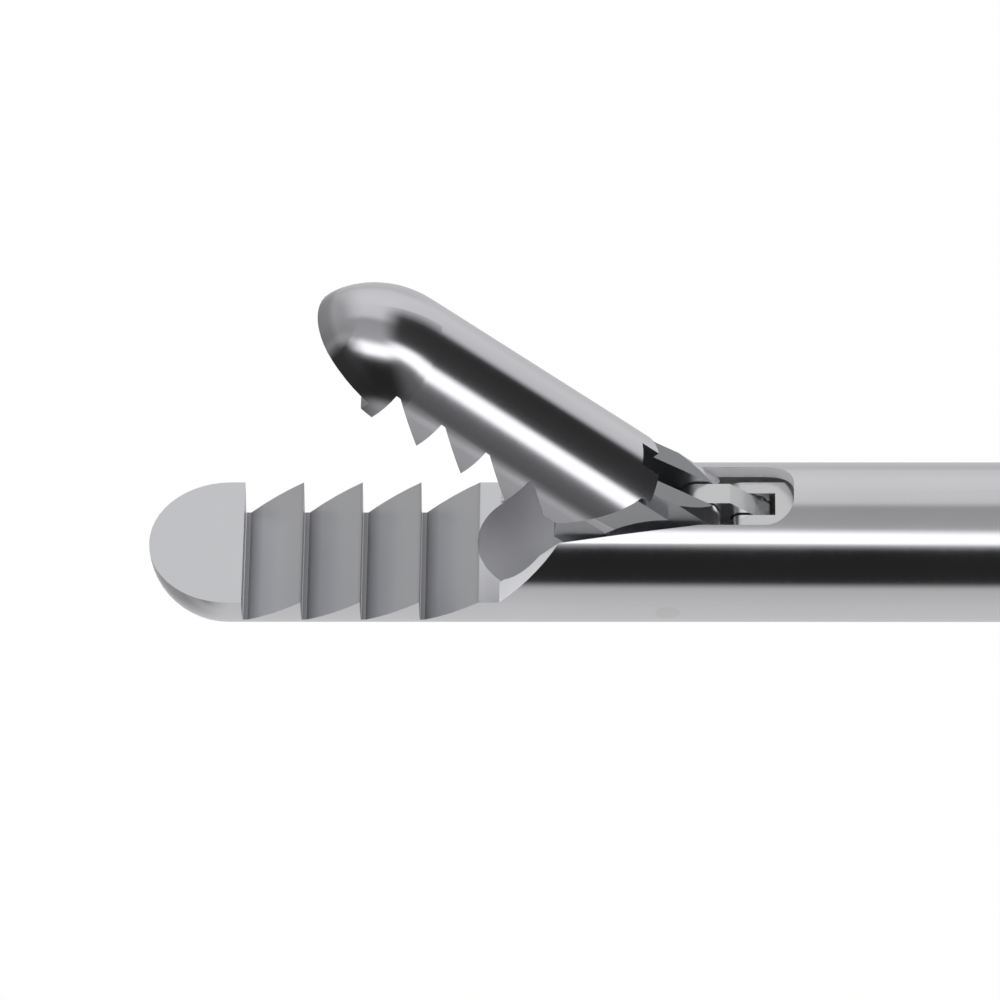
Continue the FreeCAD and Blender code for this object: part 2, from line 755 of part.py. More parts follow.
def knob():
    """The finger wheel: waisted, with a dished front and straight flutes."""
    body = turned_body("knob_blank", [
        ("knob_dish", "hub_radius"),
        ("knob_dish", "knob_radius / 2"),
        ("0", "knob_radius - knob_rim - knob_bevel"),
        ("0", "knob_radius - knob_rim"),
        ("knob_rim", "knob_radius"),
        ("knob_length / 3", "knob_radius - knob_fall"),
        ("knob_length * 2 / 3", "knob_waist"),
        ("knob_length - knob_bevel", "knob_waist - knob_bevel / 2"),
        ("knob_length", "knob_waist - 3 * knob_bevel / 2"),
        ("knob_length", "hub_radius"),
    ])
    flute = new_sketch(body, "YZ_Plane")
    disc(flute, "flute_centre", "0", "flute_radius")
    groove = feature(body, "Pocket", flute, Midplane=True, Length="2 * knob_length + 2")
    repeated(body, groove, "flute_count", "flutes")
    holes = cylinder("screw_holes", "screw_radius", "4 * knob_radius", x=KNOB_SCREW, z="-2 * knob_radius",
                     along="z")
    keep(less("rotation_knob_finished", body, holes), "rotation_knob")
    key_place = "hub_radius + screw_length - screw_radius"
    screws = []
    for side, screw_z, key_z in (
        ("top", "hub_radius", key_place),
        ("bottom", "-hub_radius - screw_length", f"-({key_place}) - screw_radius"),
    ):
        bar = cylinder(f"screw_bar_{side}", "screw_radius", "screw_length", x=KNOB_SCREW, z=screw_z, along="z")
        key = doc.addObject("Part::Prism", f"screw_key_{side}")
        key.Polygon = 6
        key.setExpression("Circumradius", bound("screw_radius / 2"))
        key.setExpression("Height", bound("screw_radius"))
        key.setExpression("Placement.Base.x", bound(KNOB_SCREW))
        key.setExpression("Placement.Base.z", bound(key_z))
        screws.append(less(f"grub_screw_{side}", bar, key))
    pair = doc.addObject("Part::Compound", "knob_set_screws")
    pair.Links = screws
    keep(pair, "knob_set_screws")


def bearings():
    """The bush in the handle, the nut that holds the hub in it, and the rod's seal with its gland."""
    bush = turned_body("bearing_bush", [
        ("handle_front - flange_width", "hub_radius + journal_clearance"),
        ("handle_front - flange_width", "bush_flange"),
        ("handle_front", "bush_flange"),
        ("handle_front", "bush_outer"),
        ("bush_back", "bush_outer"),
        ("bush_back", "hub_radius + journal_clearance"),
    ])
    keep(bush, "bearing_bush")
    keep(hex_nut("retaining_nut", "nut_radius", "thread_radius", "nut_width", "thread_front"), "retaining_nut")
    seal = turned_body("rod_seal", [
        ("seal_place", "rod_radius + seal_lip"),
        ("seal_place", "seal_radius"),
        ("seal_place + seal_width", "seal_radius"),
        ("seal_place + seal_width", "rod_radius + seal_lip"),
        ("seal_place + seal_width / 2", "rod_radius + 2 * seal_lip"),
    ])
    keep(seal, "rod_seal")
    gland = turned_body("seal_gland", [
        ("seal_place + seal_width", "gland_hole"),
        ("seal_place + seal_width", "seal_radius"),
        ("hub_back", "seal_radius"),
        ("hub_back", "gland_hole"),
    ])
    keep(gland, "seal_gland")


def upright(body, x):
    """Stands a piece that was turned about X upright on the shaft at x."""
    rotation = FreeCAD.Rotation(FreeCAD.Vector(0, 1, 0), -90)
    body.Placement = FreeCAD.Placement(FreeCAD.Vector(value(x), 0, 0), rotation)
    return body


def flush_port():
    """The rinsing port with its two lugs, a soft seal on its rim and a cap over both."""
    stub = turned_body("port_stub", [
        ("port_root", "port_bore"),
        ("port_root", "port_radius"),
        ("collar_radius", "port_radius"),
        ("collar_radius", "port_radius + port_bead"),
        ("collar_radius + port_bead", "port_radius + port_bead"),
        ("collar_radius + 2 * port_bead", "port_radius"),
        ("port_top", "port_radius - port_taper"),
        ("port_top", "port_bore"),
    ])
    upright(stub, "port_place")
    lug_top = "port_top - port_lug_drop"
    lugs = block("port_lugs",
                 ("port_place - port_lug_radius", "-port_lug_half", f"{lug_top} - port_lug_height"),
                 ("port_place + port_lug_radius", "port_lug_half", lug_top))
    way = cylinder("lug_way", "port_radius - 2 * port_taper", "port_top", x="port_place", z="0", along="z")
    keep(joined("flush_port", stub, less("port_lug_pair", lugs, way)), "flush_port")
    washer = turned_body("flush_cap_seal", [
        ("port_top", "port_bore"),
        ("port_top", "port_radius - port_taper"),
        ("port_top + cap_seal", "port_radius - port_taper"),
        ("port_top + cap_seal", "port_bore"),
    ])
    keep(upright(washer, "port_place"), "flush_cap_seal")
    cap = turned_body("flush_cap", [
        ("cap_floor", "cap_radius - cap_wall"),
        ("cap_floor", "cap_radius"),
        ("port_top + cap_lid", "cap_radius"),
        ("port_top + cap_lid + cap_bevel", "cap_radius - cap_bevel"),
        ("port_top + cap_lid + cap_bevel", "0"),
        ("port_top + cap_seal", "0"),
        ("port_top + cap_seal", "cap_radius - cap_wall"),
    ])
    notch = new_sketch(cap, "YZ_Plane")
    disc(notch, "cap_radius + notch_proud", "0", "notch_radius")
    groove = feature(cap, "Pocket", notch, Midplane=True, Length="4 * port_top")
    repeated(cap, groove, "notch_count", "cap_notches")
    keep(upright(cap, "port_place"), "flush_cap")


def bevelled(body, size, test):
    """Bevels the edges of the body's last feature that pass the test."""
    doc.recompute()
    last = body.Tip
    names = [f"Edge{n}" for n, edge in enumerate(last.Shape.Edges, start=1) if test(edge)]
    made = body.newObject("PartDesign::Chamfer", body.Name + "_bevel")
    made.Base = (last, names)
    made.Size = value(size)
    made.setExpression("Size", bound(size))
    doc.recompute()
    return made


def lies_on(half):
    """A test for edges that lie wholly in one of the two side planes."""
    side = value(half)

    def test(edge):
        box = edge.BoundBox
        return box.YLength < 0.001 and abs(abs(box.YMax) - side) < 0.001
    return test


def ring_with_stem(sketch, drop, reach, inner, offset, top):
    """The outline of a finger ring and its stem. The ring hangs `drop` below the sketch's origin and the
    stem, set off sideways from the ring's middle, runs into it through a round on each side."""
    outer = f"({inner} + ring_wall)"
    bend = f"(-{drop} + {reach})"
    low = f"(-{drop} - {reach})"
    sides = {}
    for name, sign in (("left", "-"), ("right", "")):
        edge = f"({offset} + {sign}stem_half)"
        middle_x = f"({edge} + {sign}stem_blend)"
        middle_z = f"({bend} + sqrt(({outer} + stem_blend) ^ 2 - {middle_x} ^ 2))"
        share = f"({outer} / ({outer} + stem_blend))"
        sides[name] = edge, middle_z, f"{middle_x} * {share}", f"{bend} + ({middle_z} - {bend}) * {share}"
    left_x, left_z, left_foot_x, left_foot_z = sides["left"]
    right_x, right_z, right_foot_x, right_foot_z = sides["right"]
    outline(sketch, [
        (left_x, top),
        (left_x, left_z, "-stem_blend"),
        (left_foot_x, left_foot_z, outer),
        (f"-{outer}", bend),
        (f"-{outer}", low, outer),
        ("0", f"{low} - {outer}", outer),
        (outer, low),
        (outer, bend, outer),
        (right_foot_x, right_foot_z, "-stem_blend"),
        (right_x, right_z),
        (right_x, top),
    ])


def handle_body():
    """The fixed half: a housing with two cheeks behind, a stem and the finger ring."""
    body = new_body("handle_casting")
    ring = new_sketch(body)
    ring_with_stem(ring, "finger_drop", "finger_reach", "finger_inner", "stem_offset",
                   "-housing_floor + housing_chin")
    shifted(ring, "finger_x")
    pad(body, ring, "2 * grip_half")
    hole = new_sketch(body)
    racetrack(hole, "0", "-finger_drop", "finger_reach", "finger_inner")
    shifted(hole, "finger_x")
    cut(body, hole)
    bevelled(body, "grip_bevel", lies_on("grip_half"))
    housing = new_sketch(body)
    outline(housing, [
        ("handle_front", "-housing_floor + housing_chin"),
        ("handle_front", "housing_floor + 1 - housing_corner", "-housing_corner"),
        ("handle_front + housing_corner", "housing_floor + 1"),
        ("lever_pivot_x", "lever_arm + cheek_radius", "-cheek_radius"),
        ("lever_pivot_x + cheek_radius", "lever_arm"),
        ("lever_pivot_x + cheek_radius", "-housing_corner", "-(housing_floor - housing_corner)"),
        ("lever_pivot_x + cheek_radius - housing_floor + housing_corner", "-housing_floor"),
        ("handle_front + housing_chin", "-housing_floor"),
    ])
    pad(body, housing, "2 * housing_half")
    bevelled(body, "housing_bevel", lies_on("housing_half"))
    slot = new_sketch(body)
    outline(slot, [
        ("slot_front", "-housing_floor - housing_chin"),
        ("lever_pivot_x + 2 * cheek_radius", "-housing_floor - housing_chin"),
        ("lever_pivot_x + 2 * cheek_radius", "lever_arm + 2 * cheek_radius"),
        ("slot_front", "lever_arm + 2 * cheek_radius"),
    ])
    cut(body, slot, "2 * cheek_gap")
    bore = new_sketch(body)
    outline(bore, [
        ("handle_front - 1", "0"),
        ("handle_front - 1", "bush_outer"),
        ("slot_front + 1", "bush_outer"),
        ("slot_front + 1", "0"),
    ])
    spin(body, bore, "Groove")
    pivot = new_sketch(body)
    disc(pivot, "lever_pivot_x", "lever_arm", "lever_screw_radius")
    cut(body, pivot)
    heads = [
        cylinder("head_seat", "screw_head_radius + screw_recess", "screw_head_height", x="lever_pivot_x",
                 y="-housing_half", z="lever_arm", along="y"),
        cylinder("nut_seat", "screw_head_radius + screw_recess", "screw_head_height", x="lever_pivot_x",
                 y="housing_half - screw_head_height", z="lever_arm", along="y"),
    ]
    keep(less("handle_finished", body, *heads), "handle_body")


def shifted(sketch, x="0", turn=None):
    """Moves a sketch on its plane along the shaft, or turns it about its origin."""
    angle = 0 if turn is None else value(turn)
    rotation = FreeCAD.Rotation(FreeCAD.Vector(0, 0, 1), angle)
    sketch.AttachmentOffset = FreeCAD.Placement(FreeCAD.Vector(value(x), 0, 0), rotation)
    sketch.setExpression("AttachmentOffset.Base.x", bound(x))


def thumb_lever():
    """The moving half, drawn at mid swing with its pivot at the origin and then opened."""
    body = new_body("lever_casting")
    ring = new_sketch(body)
    ring_with_stem(ring, "thumb_drop", "thumb_reach", "thumb_inner", "0", "-lever_arm")
    shifted(ring, turn="thumb_turn")
    pad(body, ring, "2 * grip_half")
    hole = new_sketch(body)
    racetrack(hole, "0", "-thumb_drop", "thumb_reach", "thumb_inner")
    shifted(hole, turn="thumb_turn")
    cut(body, hole)
    bevelled(body, "grip_bevel", lies_on("grip_half"))
    clear = new_sketch(body)
    outline(clear, [
        ("-2 * lever_stem_half", "-lever_shoulder"),
        ("3 * lever_stem_half", "-lever_shoulder"),
        ("3 * lever_stem_half", "lever_stem_half"),
        ("-2 * lever_stem_half", "lever_stem_half"),
    ])
    cut(body, clear)
    blend_low = "(lever_shoulder + shoulder_blend)"
    top = new_sketch(body)
    outline(top, [
        ("-lever_stem_half", "0", "-lever_stem_half"),
        ("0", "lever_stem_half", "-lever_stem_half"),
        ("lever_stem_half", "0"),
        ("lever_shoulder * tan(thumb_turn) + stem_half / cos(thumb_turn)", "-lever_shoulder"),
        (f"{blend_low} * tan(thumb_turn) + stem_half / 2", f"-{blend_low}"),
        (f"{blend_low} * tan(thumb_turn) - stem_half / cos(thumb_turn)", f"-{blend_low}"),
        ("-lever_stem_half", "-lever_shoulder + shoulder_blend / 2"),
    ])
    pad(body, top, "2 * lever_half")
    pivot = new_sketch(body)
    disc(pivot, "0", "0", "lever_screw_radius + journal_clearance")
    cut(body, pivot)
    socket = new_sketch(body)
    racetrack(socket, "0", "-lever_arm", "socket_play", "(ball_radius + socket_clearance)")
    neck = new_sketch(body)
    outline(neck, [
        ("-2 * lever_stem_half", "-lever_arm - neck_play"),
        ("0", "-lever_arm - neck_play"),
        ("0", "-lever_arm + neck_play"),
        ("-2 * lever_stem_half", "-lever_arm + neck_play"),
    ])
    socket_depth = "(ball_radius + 5 * socket_clearance)"
    neck_depth = "(ball_neck + 4 * socket_clearance)"
    for sketch, depth in ((socket, socket_depth), (neck, neck_depth)):
        sketch.AttachmentOffset = FreeCAD.Placement(FreeCAD.Vector(0, 0, value(depth)), FreeCAD.Rotation())
        sketch.setExpression("AttachmentOffset.Base.z", bound(depth))
        feature(body, "Pocket", sketch, Length=f"2 * lever_half + {depth}")
    moved(body, x="lever_pivot_x", z="lever_arm", about=("0", "0"), turn=f"-{LEVER_HALF}")
    return keep(body, "thumb_lever")


def lever_pivot():
    """A headed screw through the cheeks, its nut on the far side and a washer each side of the lever."""
    shank = cylinder("pivot_shank", "lever_screw_radius", "2 * (housing_half - screw_recess)",
                     x="lever_pivot_x", y="-housing_half + screw_recess", z="lever_arm", along="y")
    head = cylinder("pivot_head", "screw_head_radius", "screw_head_height - screw_recess", x="lever_pivot_x",
                    y="-housing_half + screw_recess", z="lever_arm", along="y")
    slit = block("pivot_slit",
                 ("lever_pivot_x - screw_head_radius", "-housing_half", "lever_arm - screw_slit_half"),
                 ("lever_pivot_x + screw_head_radius", "-housing_half + screw_slit_depth",
                  "lever_arm + screw_slit_half"))
    keep(less("pivot_screw", joined("pivot_screw_blank", shank, head), slit), "pivot_screw")
    nut = cylinder("pivot_nut_blank", "screw_head_radius", "screw_head_height - screw_recess",
                   x="lever_pivot_x", y="housing_half - screw_head_height", z="lever_arm", along="y")
    hole = cylinder("pivot_nut_hole", "lever_screw_radius", "screw_head_height", x="lever_pivot_x",
                    y="housing_half - screw_head_height", z="lever_arm", along="y")
    keep(less("pivot_nut", nut, hole), "pivot_nut")
    washers = []
    for side, place in (
        ("far", "lever_half + washer_play"),
        ("near", "-lever_half - washer_play - washer_thickness"),
    ):
        blank = cylinder(f"washer_blank_{side}", "washer_radius", "washer_thickness",
                         x="lever_pivot_x", y=place, z="lever_arm", along="y")
        eye = cylinder(f"washer_eye_{side}", "lever_screw_radius + washer_play", "washer_thickness",
                       x="lever_pivot_x", y=place, z="lever_arm", along="y")
        washers.append(less(f"washer_{side}", blank, eye))
    pair = doc.addObject("Part::Compound", "pivot_washers")
    pair.Links = washers
    keep(pair, "pivot_washers")


def check_and_write():
    """Stops on any failed object or bad shape; then writes one file for each piece."""
    doc.recompute()
    for item in doc.Objects:
        if {"Invalid", "Error"} & set(item.State):
            raise RuntimeError(f"{item.Name} failed: {item.State}")
    for piece in PARTS:
        shape = piece.Shape
        if shape.isNull() or not shape.isValid() or not shape.Solids:
            raise RuntimeError(f"{piece.Label} has no sound shape")
    os.makedirs("parts", exist_ok=True)
    for piece in PARTS:
        piece.Shape.exportStep(f"parts/{piece.Label}.step")
        solids = len(piece.Shape.Solids)
        print(f"{piece.Label}: {solids} solid{'s' if solids > 1 else ''}, {piece.Shape.Volume:.1f} mm3")


fixed_jaw()
moving_jaw()
link()
rod_head()
tip_pins()
outer_tube()
drive_rod()
ball_end()
hub()
knob()
bearings()
flush_port()
handle_body()
thumb_lever()
lever_pivot()
check_and_write()
print(f"rod travel {value(TRAVEL):.4f} mm, lever swing {value(LEVER_SWING):.3f} degrees")
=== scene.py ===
# %% [markdown]
# A slender grasping instrument for keyhole surgery: a 5 mm steel shaft with two toothed jaws at one end and
# a pair of finger rings at the other. This notebook dresses the finished construction model. It adds no
# motion and moves nothing: every metal, plastic and rubber part already lies in its place, and the cells
# below give the parts their finish, add the small things that a maker would see, and set up the studio. We
# start by loading the model and noting how large it is, because the dressed part has to stay that large.

# %% Load the model and note its size
import json
import math

import bpy
from mathutils import Matrix, Vector


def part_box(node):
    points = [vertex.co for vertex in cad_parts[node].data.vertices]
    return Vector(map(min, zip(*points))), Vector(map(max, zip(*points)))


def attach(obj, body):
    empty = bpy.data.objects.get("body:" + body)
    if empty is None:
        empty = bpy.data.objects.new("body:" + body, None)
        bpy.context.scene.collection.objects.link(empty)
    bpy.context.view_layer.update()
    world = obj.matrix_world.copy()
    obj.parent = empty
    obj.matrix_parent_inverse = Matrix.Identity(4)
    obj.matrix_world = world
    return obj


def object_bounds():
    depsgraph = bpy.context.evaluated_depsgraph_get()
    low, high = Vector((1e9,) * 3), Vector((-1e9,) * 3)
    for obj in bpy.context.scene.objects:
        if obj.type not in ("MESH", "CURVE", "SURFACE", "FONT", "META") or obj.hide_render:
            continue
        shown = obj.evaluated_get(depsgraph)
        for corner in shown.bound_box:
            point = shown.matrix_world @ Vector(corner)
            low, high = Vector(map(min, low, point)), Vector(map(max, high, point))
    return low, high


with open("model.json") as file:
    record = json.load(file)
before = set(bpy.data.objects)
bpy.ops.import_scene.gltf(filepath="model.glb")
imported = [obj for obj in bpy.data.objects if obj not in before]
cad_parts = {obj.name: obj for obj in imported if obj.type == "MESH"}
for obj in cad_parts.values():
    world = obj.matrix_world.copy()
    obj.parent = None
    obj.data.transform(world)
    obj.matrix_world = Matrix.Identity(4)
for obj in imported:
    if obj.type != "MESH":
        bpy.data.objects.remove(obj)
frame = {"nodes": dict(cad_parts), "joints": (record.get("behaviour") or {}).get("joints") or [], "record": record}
cad_low, cad_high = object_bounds()
MM = 0.001
joints = {joint["name"]: joint for joint in frame["joints"]}
jaw_pivot = Vector(joints["jaw_swing"]["pos_m"])
print(f"{len(frame['nodes'])} parts, {1000 * (cad_high.x - cad_low.x):.0f} mm from end to end")

# %% [markdown]
# ## The camera
# The photograph is a close view of the jaws alone, taken with a long lens from above and in front, square
# to the shaft. A long lens far away would do as well, but 300 mm and a 345 mm lens give the same slight
# perspective. The picture's width takes in 31.3 mm at the jaws. The camera's own right-hand direction is
# laid along the shaft, so the tube's edges come out level.

# %% Set up the camera
VIEW_WIDTH = 31.33 * MM
CAMERA_DISTANCE = 300 * MM
CAMERA_RISE = math.radians(48.6)
CAMERA_TURN = math.radians(1.4)
LOOK_BEHIND_PIVOT = -5.25 * MM
LOOK_ABOVE_AXIS = 1.32 * MM

back = Vector((
    math.sin(CAMERA_TURN) * math.cos(CAMERA_RISE),
    -math.cos(CAMERA_TURN) * math.cos(CAMERA_RISE),
    math.sin(CAMERA_RISE),
))
along = Vector((1, 0, 0))
right = (along - back * along.dot(back)).normalized()
upward = back.cross(right)
target = Vector((jaw_pivot.x + LOOK_BEHIND_PIVOT, 0, 0)) + upward * LOOK_ABOVE_AXIS

camera_data = bpy.data.cameras.new("camera")
camera_data.sensor_width = 36
camera_data.lens = camera_data.sensor_width * CAMERA_DISTANCE / VIEW_WIDTH
camera_data.clip_start = 0.01
camera_data.clip_end = 100
camera = bpy.data.objects.new("camera", camera_data)
camera.matrix_world = Matrix.Translation(target + back * CAMERA_DISTANCE) @ Matrix(
    (right, upward, back)).transposed().to_4x4()
bpy.context.scene.collection.objects.link(camera)
bpy.context.scene.camera = camera
bpy.context.scene.view_settings.view_transform = "Standard"
print(f"lens {camera_data.lens:.0f} mm, looking at x = {1000 * target.x:.1f} mm")

# %% [markdown]
# ## The studio
# Bare steel has next to no colour of its own: what we see in it is the room. So the room is the first
# material of this object. In the photograph the tube shows, from its top edge down, a light stretch, a mid
# grey one, a thin white line, a nearly black band and a light grey one. Each stands for one thing in the
# studio: a pale wall behind, a grey ceiling, a narrow lamp above the camera, a dark room behind the camera
# and a pale floor. A world shader can hold all of them as plain bands of brightness by direction. Cards and
# lamps as objects would do the same, but they would stand in the way when the object is looked at from
# other sides.

# %% A helper for node trees
def srgb(*levels):
    """Turns brightness as seen on a screen (0 to 1) into the linear numbers that a shader wants."""
    linear = [((v + 0.055) / 1.055) ** 2.4 if v > 0.04 else v / 12.92 for v in levels]
    if len(linear) == 1:
        linear = linear * 3
    return (*linear, 1.0)


class Tree:
    """A small wrapper that adds nodes and joins them as they are made."""

    def __init__(self, node_tree):
        self.tree = node_tree

    def add(self, kind, **settings):
        node = self.tree.nodes.new("ShaderNode" + kind)
        for name, setting in settings.items():
            setattr(node, name, setting)
        return node

    def join(self, source, target):
        self.tree.links.new(source, target)

    def math(self, operation, first, second=None, third=None):
        node = self.add("Math", operation=operation)
        for socket, value in zip(node.inputs, (first, second, third)):
            if value is None:
                continue
            if isinstance(value, (int, float)):
                socket.default_value = value
            else:
                self.join(value, socket)
        return node.outputs[0]

    def ramp(self, factor, stops, smooth="LINEAR"):
        node = self.add("ValToRGB")
        node.color_ramp.interpolation = smooth
        elements = node.color_ramp.elements
        while len(elements) < len(stops):
            elements.new(0.5)
        for element, (place, colour) in zip(elements, stops):
            element.position = place
            element.color = colour
        self.join(factor, node.inputs[0])
        return node.outputs[0]

    def mix(self, factor, first, second):
        node = self.add("Mix", data_type="RGBA")
        for socket, value in ((node.inputs[0], factor), (node.inputs[6], first), (node.inputs[7], second)):
            if isinstance(value, (int, float, tuple)):
                socket.default_value = value
            else:
                self.join(value, socket)
        return node.outputs[2]


print("helper for node trees ready")

# %% [markdown]
# The bands around the shaft are given by one angle: 0 degrees points level towards the camera's side, 90
# straight up and 180 level to the far side. The open jaw points another way and mirrors what lies to the
# right of the camera, so that side has bands of its own, given by how far the direction leans to the front
# (-1) or the back (1). The ramps of the lower teeth look to the left, which gets a third, darker set. The
# sets blend where they meet.

# %% Paint the studio's brightness by direction
AROUND_BANDS = [
    (-180, 0.74), (-125, 0.80), (-60, 0.78), (-24, 0.72), (-14, 0.16), (36, 0.12), (42, 0.55), (46, 1.12),
    (58, 1.12), (66, 0.64), (100, 0.60), (108, 0.80), (150, 0.84), (180, 0.80),
]
RIGHT_BANDS = [
    (-1.0, 0.30), (-0.72, 0.38), (-0.64, 0.48), (-0.57, 1.12), (-0.36, 1.12), (-0.27, 0.22), (0.47, 0.17),
    (0.60, 0.78), (1.0, 0.84),
]
LEFT_BANDS = [
    (-1.0, 0.22), (-0.50, 0.24), (-0.38, 0.62), (-0.28, 0.62), (-0.15, 0.56), (0.4, 0.62), (1.0, 0.65),
]
RIGHT_BLEND = [(0.28, (0, 0, 0, 1)), (0.52, (1, 1, 1, 1))]
LEFT_BLEND = [(0.10, (0, 0, 0, 1)), (0.48, (1, 1, 1, 1))]

world = bpy.data.worlds.new("studio")
world.use_nodes = True
bpy.context.scene.world = world
world.node_tree.nodes.clear()
sky = Tree(world.node_tree)
direction = sky.add("SeparateXYZ")
sky.join(sky.add("TexCoord").outputs["Generated"], direction.inputs[0])
toward = sky.math("MULTIPLY", direction.outputs["Y"], -1.0)
angle = sky.math("ARCTAN2", direction.outputs["Z"], toward)
around = sky.ramp(
    sky.math("MULTIPLY_ADD", angle, 1 / (2 * math.pi), 0.5),
    [(degrees / 360 + 0.5, srgb(level)) for degrees, level in AROUND_BANDS],
)
across = sky.math("MULTIPLY_ADD", direction.outputs["Y"], 0.5, 0.5)
right_side = sky.ramp(across, [(place / 2 + 0.5, srgb(level)) for place, level in RIGHT_BANDS])
left_side = sky.ramp(across, [(place / 2 + 0.5, srgb(level)) for place, level in LEFT_BANDS])
rightward = sky.ramp(direction.outputs["X"], RIGHT_BLEND)
leftward = sky.ramp(sky.math("MULTIPLY", direction.outputs["X"], -1.0), LEFT_BLEND)
studio = sky.mix(leftward, sky.mix(rightward, around, right_side), left_side)
seen = sky.add("LightPath").outputs["Is Camera Ray"]
background = sky.add("Background")
sky.join(sky.mix(seen, studio, (1, 1, 1, 1)), background.inputs["Color"])
sky.join(background.outputs[0], sky.add("OutputWorld").inputs["Surface"])
print("bands round the shaft, right and left:", len(AROUND_BANDS), len(RIGHT_BANDS), len(LEFT_BANDS))

# %% [markdown]
# The floor is a large pale sheet below the finger rings. It takes the object's shadow, and it is kept close
# to white for the camera by a share of plain white light, so the ground of the picture stays as light as in
# the photograph. Mirrors don't see it: the bands above go on below the horizon and stand for it, because
# the dark band on the tube reaches some 20 degrees below level. Three soft lamps stand round the object for
# the plastic and the dull metal, which need light from somewhere and mirror little.

# %% Lay the floor and hang the lamps
FLOOR_SIZE = 14.0
FLOOR_GAP = 0.5 * MM
WHITE_SHARE = 0.93

mesh = bpy.data.meshes.new("floor")
half = FLOOR_SIZE / 2
corners = [(-half, -half), (half, -half), (half, half), (-half, half)]
mesh.from_pydata([(x, y, cad_low.z - FLOOR_GAP) for x, y in corners], [], [(0, 1, 2, 3)])
floor = bpy.data.objects.new("floor", mesh)
bpy.context.scene.collection.objects.link(floor)
floor.visible_glossy = False

paper = bpy.data.materials.new("floor_paper")
paper.use_nodes = True
paper.node_tree.nodes.clear()
sheet = Tree(paper.node_tree)
dull = sheet.add("BsdfDiffuse")
dull.inputs["Color"].default_value = (0.86, 0.86, 0.86, 1)
glow = sheet.add("Emission")
glow.inputs["Color"].default_value = (1, 1, 1, 1)
blend = sheet.add("MixShader")
rays = sheet.add("LightPath")
sheet.join(sheet.math("MULTIPLY", rays.outputs["Is Camera Ray"], WHITE_SHARE), blend.inputs[0])
sheet.join(dull.outputs[0], blend.inputs[1])
sheet.join(glow.outputs[0], blend.inputs[2])
sheet.join(blend.outputs[0], sheet.add("OutputMaterial").inputs["Surface"])
mesh.materials.append(paper)


def soft_lamp(name, place, power, size):
    """A square lamp that looks at the middle of the object."""
    data = bpy.data.lights.new(name, "AREA")
    data.energy = power
    data.size = size
    lamp = bpy.data.objects.new(name, data)
    middle = (cad_low + cad_high) / 2
    lamp.location = middle + Vector(place)
    lamp.rotation_mode = "QUATERNION"
    lamp.rotation_quaternion = Vector(place).to_track_quat("Z", "Y")
    lamp.visible_glossy = False
    bpy.context.scene.collection.objects.link(lamp)
    return lamp


soft_lamp("lamp_over", (0.2, -0.5, 1.6), 22, 1.6)
soft_lamp("lamp_left", (-1.6, -0.9, 0.9), 12, 1.2)
soft_lamp("lamp_back", (0.9, 1.5, 1.0), 12, 1.4)
print("floor at z =", round(1000 * (cad_low.z - FLOOR_GAP), 1), "mm")

# %% [markdown]
# ## Steel
# One recipe makes all the metal here, and mostly the finish differs: the tube and the round skin of the jaws
# are polished, the rings are satin. Its body is a metal whose colour is nearly neutral. Two noises make it
# real: a fine one stretched along the grinding direction, which changes roughness and lifts the surface by
# a hair, and a broad one that varies roughness like a wiped surface.

# %% The recipe for steel
def new_material(name):
    material = bpy.data.materials.new(name)
    material.use_nodes = True
    material.node_tree.nodes.clear()
    return material, Tree(material.node_tree)


def finish_tree(tree, shader):
    tree.join(shader.outputs[0], tree.add("OutputMaterial").inputs["Surface"])


def stretched_noise(tree, stretch, scale, detail=3.0):
    """Noise in the object's own coordinates (metres), drawn out along one or two directions."""
    mapping = tree.add("Mapping")
    mapping.inputs["Scale"].default_value = stretch
    tree.join(tree.add("TexCoord").outputs["Object"], mapping.inputs["Vector"])
    noise = tree.add("TexNoise")
    noise.inputs["Scale"].default_value = scale
    noise.inputs["Detail"].default_value = detail
    tree.join(mapping.outputs[0], noise.inputs["Vector"])
    return noise.outputs["Fac"]


def steel(
    name, colour, roughness, grain=(1, 1, 1), grain_scale=4000, lift=0.0, spread=0.05, shade=None, metal=1.0
):
    """A metal with brushed grain. Roughness wanders by `spread`; `lift` is the height of the grain in metres.

    `shade` may be a function that takes the tree and returns a factor to multiply the colour by. A blasted
    skin has a `metal` below 1, because it scatters some light as a dull one does."""
    material, tree = new_material(name)
    shader = tree.add("BsdfPrincipled")
    shader.inputs["Metallic"].default_value = metal
    fine = stretched_noise(tree, grain, grain_scale)
    broad = stretched_noise(tree, (1, 1, 1), 180, 2.0)
    wander = tree.math("MULTIPLY_ADD", broad, 2 * spread, roughness - spread)
    rough = tree.math("MULTIPLY_ADD", fine, spread, wander)
    tree.join(rough, shader.inputs["Roughness"])
    lighter = tuple(min(1.0, c * 1.04) for c in colour[:3]) + (1,)
    darker = tuple(c * 0.95 for c in colour[:3]) + (1,)
    tone = tree.mix(broad, darker, lighter)
    if shade:
        shaded = tree.add("VectorMath", operation="MULTIPLY")
        tree.join(tone, shaded.inputs[0])
        tree.join(shade(tree), shaded.inputs[1])
        tone = shaded.outputs[0]
    tree.join(tone, shader.inputs["Base Color"])
    if lift:
        bump = tree.add("Bump")
        bump.inputs["Distance"].default_value = lift
        bump.inputs["Strength"].default_value = 1.0
        tree.join(fine, bump.inputs["Height"])
        tree.join(bump.outputs[0], shader.inputs["Normal"])
    finish_tree(tree, shader)
    return material


